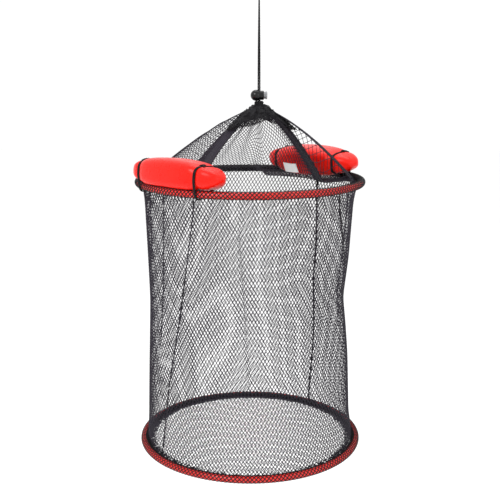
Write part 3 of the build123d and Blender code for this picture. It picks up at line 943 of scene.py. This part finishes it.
def rolled_seam():
    """The cone's gathered seam: a rolled band with the net bunched into it."""
    rows, columns = 140, 28
    u0 = (SEAM_AZIMUTH - CONE_START) / (CONE_END - CONE_START)
    v = np.linspace(0.25, 0.985, rows)
    middle = cone_surface(np.full(rows, u0), v)
    normal = surface_normals(cone_surface, np.full(rows, u0), v)
    along = unit(np.gradient(middle, axis=0))
    side = np.cross(along, normal)
    turn = np.arange(columns) / columns * TAU
    bumps = np.sin(v[:, None] * 190 + 2 * np.sin(turn)[None, :]) + np.sin(v[:, None] * 83)
    wide = 7.4 - 3.4 * v[:, None] + 0.7 * bumps
    thick = 2.2 + 0.35 * np.sin(v[:, None] * 230 + 3 * np.cos(turn)[None, :])
    ridge = 1 + 0.1 * np.cos(7 * turn)[None, :]
    verts = middle[:, None, :] - normal[:, None, :] * 1.4 * MM
    verts = verts + side[:, None, :] * (wide * np.cos(turn) * ridge * MM)[:, :, None]
    verts = verts + normal[:, None, :] * (thick * np.sin(turn) * ridge * MM)[:, :, None]
    piece = mesh_object("cone_seam_roll", verts, grid_faces(rows, columns, wrap=True), hem_black)
    return placed(piece, "upper_hoop", "black_hem", "cone_seam")


def frill_surface(u, v):
    """Bunched net that stands out in ruffles just below the neck."""
    u, v = np.broadcast_arrays(np.asarray(u, float), np.maximum(np.asarray(v, float), 1e-4))
    angle = TAU * u
    ruffle = np.sin(7 * angle + 1.3 * np.sin(2 * angle)) + 0.5 * np.sin(16 * angle + 1)
    lean = 1 + 0.2 * np.sin(angle * 2 + 0.8) + 0.14 * np.cos(3 * angle) + 0.12 * np.sin(5 * angle + 2)
    radius = 4.6 * MM + FRILL * lean * v ** 0.9 + 1.8 * MM * ruffle * v
    height = NECK_Z + 3 * MM - FRILL_DROP * lean * v ** 1.05
    height = height + 2.0 * MM * v * np.cos(7 * angle + 3 * np.sin(angle))
    return around(radius, angle, height, 0)


def neck_frill():
    """Three overlapping ruffles of crowded net, each shorter than the last, and loose tufts."""
    parts = []
    for turned, reach, columns in ((0.0, 1.0, 76), (0.37, 0.75, 68), (0.61, 0.5, 58)):
        def surface(u, v):
            return frill_surface(u + turned, v * reach)
        rows = max(2, round(9 * reach))
        parts.append(net_strands(surface, columns, rows, 16, True, TWINE * 1.15)[0])
    share = np.linspace(0, 1, 6)[None, :]
    u = rng.random((TUFTS, 1))
    v = rng.uniform(0.1, 0.95, (TUFTS, 1))
    swing = rng.uniform(-0.05, 0.05, (TUFTS, 1)) * share
    tufts = frill_surface(u + swing, v + rng.uniform(-0.2, 0.12, (TUFTS, 1)) * share)
    lift = rng.uniform(0.4, 3.4, (TUFTS, 1)) * np.sin(math.pi * share)
    parts.append(tubes(tufts + UP * lift[:, :, None] * MM, UP, TWINE * 1.2))
    piece = mesh_object("neck_frill", *joined(parts), net_dense)
    placed(piece, "drawcord", "black_net")
    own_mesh(piece)


neck_frill()
cone_piece, cone_dots, cone_edges = cone_net()
seam_piece = rolled_seam()
for piece in (cone_piece, cone_dots, cone_edges, seam_piece):
    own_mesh(piece)


# ---- label

def care_label():
    """Blank folded tape, sewn in at its top edge."""
    low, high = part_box("care_label")
    centre = np.array((low + high) / 2)
    angle = math.radians(LABEL_AZIMUTH)
    level = np.array([-math.sin(angle), math.cos(angle), 0])
    inward = np.array([-math.cos(angle), -math.sin(angle), 0])
    slope = unit(inward * 0.45 + UP * 0.89)
    normal = np.cross(level, slope)
    outward = normal * np.sign(normal.dot(-inward))
    rows, columns = 44, 24
    across = np.linspace(-1, 1, columns)[None, :]
    share = np.linspace(0, 1, rows)[:, None]
    down = np.where(share < 0.5, share * 2, (1 - share) * 2)
    fold = np.where(share < 0.5, 1.0, -1.0) * 0.55 * np.sqrt(np.clip(1 - down ** 6, 0, 1))
    curl = 1.2 * across ** 2 + 0.5 * np.sin(2.2 * across + 2 * down)
    width = 13.3 * MM
    height = 17.0 * MM
    lowered = (down - 0.5) * height + 0 * across
    verts = centre + level * (across * width)[:, :, None] - slope * lowered[:, :, None]
    verts = verts + normal * ((fold + curl) * MM)[:, :, None] - outward * LABEL_STAND
    piece = mesh_object("care_label_tape", verts, grid_faces(rows, columns), label_white)
    solidify = piece.modifiers.new("tape", "SOLIDIFY")
    solidify.thickness = 0.25 * MM
    placed(piece, "upper_hoop", "label_white", "care_label")


care_label()


# ---- floats and lashings

def float_scale(station, power):
    return (1 - np.abs(station) ** power) ** (1 / power)


def section_outline(station, turn, grow=0.0):
    """The float's rounded section at a station, as (y, z) from its middle."""
    power = 2 / FLOAT_SECTION_POWER
    wide = FLOAT_WIDTH / 2 * float_scale(station, FLOAT_PLAN_POWER) + grow
    tall = FLOAT_HEIGHT / 2 * float_scale(station, FLOAT_SIDE_POWER) + grow
    y = np.sign(np.cos(turn)) * np.abs(np.cos(turn)) ** power * wide
    z = np.sign(np.sin(turn)) * np.abs(np.sin(turn)) ** power * tall
    return y, z


def rolled(y, z):
    turn_y = y * math.cos(FLOAT_ROLL) - z * math.sin(FLOAT_ROLL)
    turn_z = y * math.sin(FLOAT_ROLL) + z * math.cos(FLOAT_ROLL)
    return turn_y, turn_z


def at_float(x, y, z, azimuth):
    """From the float's own frame, Y outwards, to its place on the hoop."""
    turn = math.radians(azimuth - 90)
    out = y + FLOAT_ORBIT
    return np.stack([
        AXIS_X + x * math.cos(turn) - out * math.sin(turn),
        x * math.sin(turn) + out * math.cos(turn),
        z + UPPER_Z + FLOAT_RISE], -1)


def float_skin(name, azimuth):
    rows, columns = 190, 144
    tip = np.linspace(-1, 1, rows)
    station = np.sign(tip) * (1 - (1 - np.abs(tip)) ** 2.1)
    station = np.clip(station, -0.99995, 0.99995)[:, None]
    turn = ((np.arange(columns) + 0.5) / columns * TAU)[None, :]
    y, z = section_outline(station, turn)
    x = station * FLOAT_LENGTH / 2 + 0 * y
    for side in (-1, 1):
        away = x - side * LASHING_STATION
        groove = np.exp(-(away / (1.9 * MM)) ** 2) * 1.1 * MM + np.exp(-(away / (7 * MM)) ** 2) * PINCH
        shrink = 1 - groove / (FLOAT_HEIGHT / 2)
        y = y * shrink
        z = z * shrink
    parting = np.exp(-(z / (0.5 * MM)) ** 2) * 0.22 * MM
    y = y + np.sign(y) * parting
    y, z = rolled(y, z)
    points = at_float(x, y, z, azimuth)
    flat = points[..., :2] - AXIS[:2]
    away = np.linalg.norm(flat, axis=-1, keepdims=True)
    nearest = np.concatenate([flat / away * HOOP + AXIS[:2], np.full_like(away, UPPER_Z)], -1)
    gap = points - nearest
    distance = np.linalg.norm(gap, axis=-1, keepdims=True)
    clear = HOSE + 1.8 * MM
    points = np.where(distance < clear, nearest + gap / distance * clear, points)
    piece = mesh_object(name + "_float_skin", points, grid_faces(rows, columns, wrap=True), float_red)
    placed(piece, "upper_hoop", "float_red", name + "_float")


def hull(points):
    """Convex outline of (n, 2) points, in order."""
    points = points[np.lexsort((points[:, 1], points[:, 0]))]

    def half(some):
        chain = []
        for point in some:
            while len(chain) > 1:
                a, b = chain[-1] - chain[-2], point - chain[-1]
                if a[0] * b[1] - a[1] * b[0] > 0:
                    break
                chain.pop()
            chain.append(point)
        return chain[:-1]

    return np.array(half(points) + half(points[::-1]))


def lashing(name, node, azimuth, side):
    """Two taut turns round the float and the hoop. Returns the bow on top, as (vertices, quads)."""
    station = side * LASHING_STATION * 2 / FLOAT_LENGTH
    turn = np.linspace(0, TAU, 160, endpoint=False)
    y, z = rolled(*section_outline(station, turn, CORD - 0.6 * MM - PINCH))
    hoop_out = math.sqrt(HOOP ** 2 - LASHING_STATION ** 2) - FLOAT_ORBIT
    round_hoop = HOSE + CORD + 1.1 * MM
    hoop_y = hoop_out + round_hoop * np.cos(turn)
    hoop_z = -FLOAT_RISE + round_hoop * np.sin(turn)
    outline = hull(np.concatenate([np.stack([y, z], 1), np.stack([hoop_y, hoop_z], 1)]))
    line = np.concatenate([np.zeros((len(outline), 1)), outline], 1)
    line = resampled(line, 1.2 * MM, closed=True)
    share = np.arange(len(line)) / len(line)
    parts = []
    for lead in (-1, 1):
        wander = side * LASHING_STATION + lead * (1.05 + 0.3 * np.sin(TAU * share * 2 + lead)) * MM
        parts.append(braid(at_float(wander, line[:, 1], line[:, 2], azimuth), CORD * 0.92, closed=True))
    placed(mesh_object(name, *joined(parts), cord_black), "upper_hoop", "black_cord", node)
    top_y = 0.1 * FLOAT_WIDTH * float_scale(station, FLOAT_PLAN_POWER)
    top_z = FLOAT_HEIGHT / 2 * float_scale(station, FLOAT_SIDE_POWER) + 2.0 * MM - PINCH
    top = np.array([side * LASHING_STATION, top_y, top_z])
    loops = trefoil(90, 1.5, 0.85, 1.0, 0) * [1.3, 1, 1] * MM + top
    parts = [braid(at_float(*loops.T, azimuth), CORD * 0.85, closed=True)]
    for end in (-1, 1):
        tail = [(0.5, 0.8, 0.4), (2.6, 2.2, 0.9), (5.2, 4.0, 0.0), (7.2, 6.2, -1.6)]
        tail = nurbs_points("tail_line", [(x * end * MM, y * MM, z * MM) for x, y, z in tail])
        tail = resampled(tail, 0.5 * MM) + top
        parts.append(braid(at_float(*tail.T, azimuth), CORD * 0.8))
    return joined(parts)


tied = []
for name, azimuth in (("front", 225.0), ("back", 45.0)):
    float_skin(name, azimuth)
    for number, side in ((1, -1), (2, 1)):
        node = f"{name}_lashing_{number}"
        tied.append(lashing(node + "_turns", node, azimuth, side))
knot_set = mesh_object("lashing_bows", *joined(tied), cord_black)
placed(knot_set, "upper_hoop", "black_cord", "lashing_knots")


# ---- stage, lights, camera

def stage_material():
    made = material("studio_floor", (0.97, 0.97, 0.97), 0.8, Specular_IOR_Level=0.1)
    vary_color(made, 3.0, (0.965, 0.965, 0.965), (0.985, 0.985, 0.985))
    return made


def studio_floor():
    rings, columns = 40, 96
    radius = np.linspace(0.001, 9.0, rings)[:, None]
    turn = (np.arange(columns) / columns * TAU)[None, :]
    verts = around(radius, turn, LOWER_Z - FLOOR_DROP + 0 * radius, 0)
    floor = mesh_object("studio_floor", verts, grid_faces(rings, columns, wrap=True), stage_material())


def area_light(name, place, aim, size, power):
    light = bpy.data.lights.new(name, "AREA")
    light.shape = "DISK"
    light.size = size
    light.energy = power
    holder = bpy.data.objects.new(name, light)
    bpy.context.scene.collection.objects.link(holder)
    holder.location = place
    holder.rotation_euler = (Vector(aim) - Vector(place)).to_track_quat("-Z", "Y").to_euler()


studio_floor()
aim = (AXIS_X, 0, (UPPER_Z + LOWER_Z) / 2)
area_light("key", (-0.9, -1.3, 0.75), aim, 0.9, 16)
area_light("fill", (1.3, -1.1, 0.1), aim, 1.2, 4)
area_light("overhead", (0.1, 0.5, 1.3), aim, 1.4, 10)

world = bpy.data.worlds.new("studio")
world.use_nodes = True
world.node_tree.nodes["Background"].inputs["Color"].default_value = (1, 1, 1, 1)
world.node_tree.nodes["Background"].inputs["Strength"].default_value = 1.04
bpy.context.scene.world = world
bpy.context.scene.view_settings.view_transform = "Standard"

camera_data = bpy.data.cameras.new("photo_view")
camera_data.lens = CAMERA_LENS
camera_data.sensor_width = 36.0
camera = bpy.data.objects.new("photo_view", camera_data)
bpy.context.scene.collection.objects.link(camera)
camera.location = (AXIS_X, -CAMERA_BACK, LOWER_Z + CAMERA_RISE)
camera.rotation_euler = (math.radians(90 - CAMERA_TILT), 0, 0)
bpy.context.scene.camera = camera
